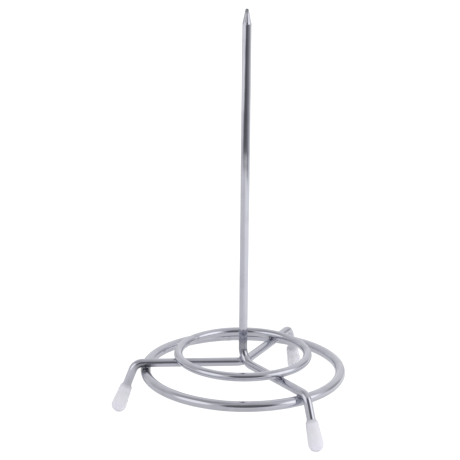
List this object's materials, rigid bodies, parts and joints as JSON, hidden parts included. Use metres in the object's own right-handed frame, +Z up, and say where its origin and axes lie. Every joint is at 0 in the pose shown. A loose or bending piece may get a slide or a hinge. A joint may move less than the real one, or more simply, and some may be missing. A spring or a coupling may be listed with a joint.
{
  "type": "bill spike",
  "caption": "Desk bill spike: an upright pointed wire bent into one leg of a welded wire stand with two rings and plastic foot caps.",
  "frame": {"origin": "on the table under the middle of the upright spike", "axes": "+Z up along the spike, -Y along the front leg, +X to the right of someone who faces the front leg"},
  "size_m": [0.0874, 0.0882, 0.152],
  "materials": {
    "chrome_wire": "bright chrome plate on drawn steel wire",
    "foot_cap": "soft milky white vinyl, a little translucent"
  },
  "bodies": {
    "root": {"spike_and_front_leg": "chrome_wire", "rear_leg_pair": "chrome_wire", "outer_ring": "chrome_wire", "inner_ring": "chrome_wire", "front_foot_cap": "foot_cap", "left_foot_cap": "foot_cap", "right_foot_cap": "foot_cap"}
  },
  "joints": []
}
